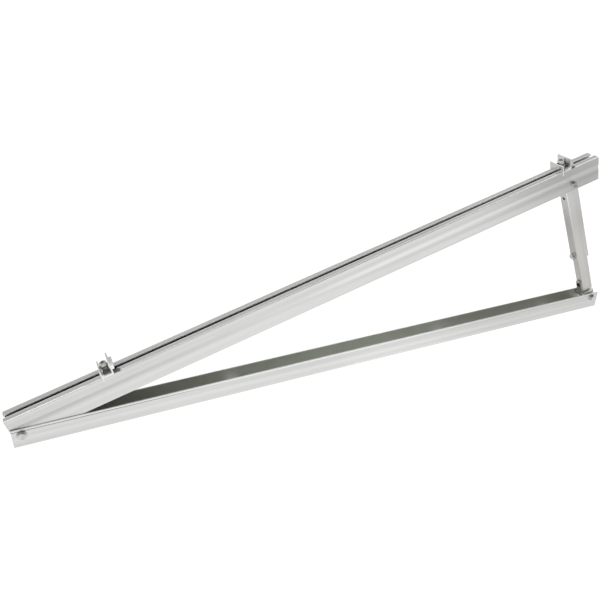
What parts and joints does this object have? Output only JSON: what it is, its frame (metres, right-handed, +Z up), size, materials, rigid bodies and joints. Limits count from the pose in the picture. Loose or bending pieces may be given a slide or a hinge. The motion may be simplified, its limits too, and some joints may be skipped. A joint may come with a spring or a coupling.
{
  "type": "solar panel tilt frame",
  "caption": "Triangular tilt frame that holds a solar panel at a slope: an open base channel, a slotted top rail hinged to it, a telescopic rear strut and clamps for the panel's edges.",
  "frame": {"origin": "middle of the base channel's underside", "axes": "+X along the base channel from the hinge to the strut, +Y towards the side of the pivot nuts, +Z up"},
  "size_m": [1.3493, 0.0575, 0.3885],
  "materials": {
    "base_aluminium": "mill finish, drawn lines along the length",
    "rail_aluminium": "mill finish, drawn lines along the length",
    "strut_aluminium": "mill finish, drawn lines along the length",
    "clamp_aluminium": "satin anodised",
    "nut_aluminium": "turned or sawn, dull",
    "bracket_steel": "folded stainless sheet, fine grain",
    "bolt_steel": "stainless, lightly worn corners",
    "dark_steel": "black oxide, satin",
    "clip_plastic": "fine-grained moulding"
  },
  "bodies": {
    "base": {"base_channel": "base_aluminium", "hinge_bolt": "bolt_steel", "hinge_washer": "bolt_steel", "hinge_nut": "bolt_steel", "foot_bolt": "bolt_steel", "foot_washer": "bolt_steel", "foot_nut": "bolt_steel", "foot_spacers": "nut_aluminium", "foot_bush": "nut_aluminium"},
    "rail": {"top_rail": "rail_aluminium", "hinge_bush": "nut_aluminium", "strut_bolt": "bolt_steel", "strut_washer": "bolt_steel", "strut_nut": "bolt_steel", "strut_spacers": "nut_aluminium"},
    "leg": {"strut_leg": "strut_aluminium", "foot_bracket": "bracket_steel", "bracket_screw": "dark_steel"},
    "sleeve": {"strut_sleeve": "strut_aluminium", "adjuster_bolt": "bolt_steel", "adjuster_nut": "bolt_steel", "adjuster_washers": "bolt_steel"},
    "lower_clamp": {"lower_clamp": "clamp_aluminium", "lower_clamp_washer": "dark_steel", "lower_clamp_screw": "bolt_steel", "lower_clamp_spring": "dark_steel", "lower_slot_nut": "nut_aluminium", "lower_nut_clip": "clip_plastic"},
    "upper_clamp": {"upper_clamp": "clamp_aluminium", "upper_clamp_washer": "dark_steel", "upper_clamp_screw": "bolt_steel", "upper_clamp_spring": "dark_steel", "upper_slot_nut": "nut_aluminium", "upper_nut_clip": "clip_plastic"}
  },
  "joints": [
    {"name": "rail_tilt", "type": "hinge", "parent": "base", "child": "rail", "pos_m": [-0.654, 0, 0.0253], "axis": [0, -1, 0], "range_deg": [0, 2.85]},
    {"name": "leg_swing", "type": "hinge", "parent": "base", "child": "leg", "pos_m": [0.656, 0, 0.0253], "axis": [0, -1, 0], "range_deg": [-1.31, 0]},
    {"name": "strut_extend", "type": "slide", "parent": "leg", "child": "sleeve", "axis": [-0.4, 0, 0.9165], "range_m": [0, 0.06015]},
    {"name": "lower_clamp_slide", "type": "slide", "parent": "rail", "child": "lower_clamp", "axis": [0.9681, 0, 0.2504], "range_m": [-0.17, 0.45]},
    {"name": "upper_clamp_slide", "type": "slide", "parent": "rail", "child": "upper_clamp", "axis": [0.9681, 0, 0.2504], "range_m": [-0.45, 0.055]}
  ],
  "couplings": [
    {"joint": "leg_swing", "follows": "rail_tilt", "ratio": -0.442},
    {"joint": "strut_extend", "follows": "rail_tilt", "m_per_rad": 1.2056}
  ]
}
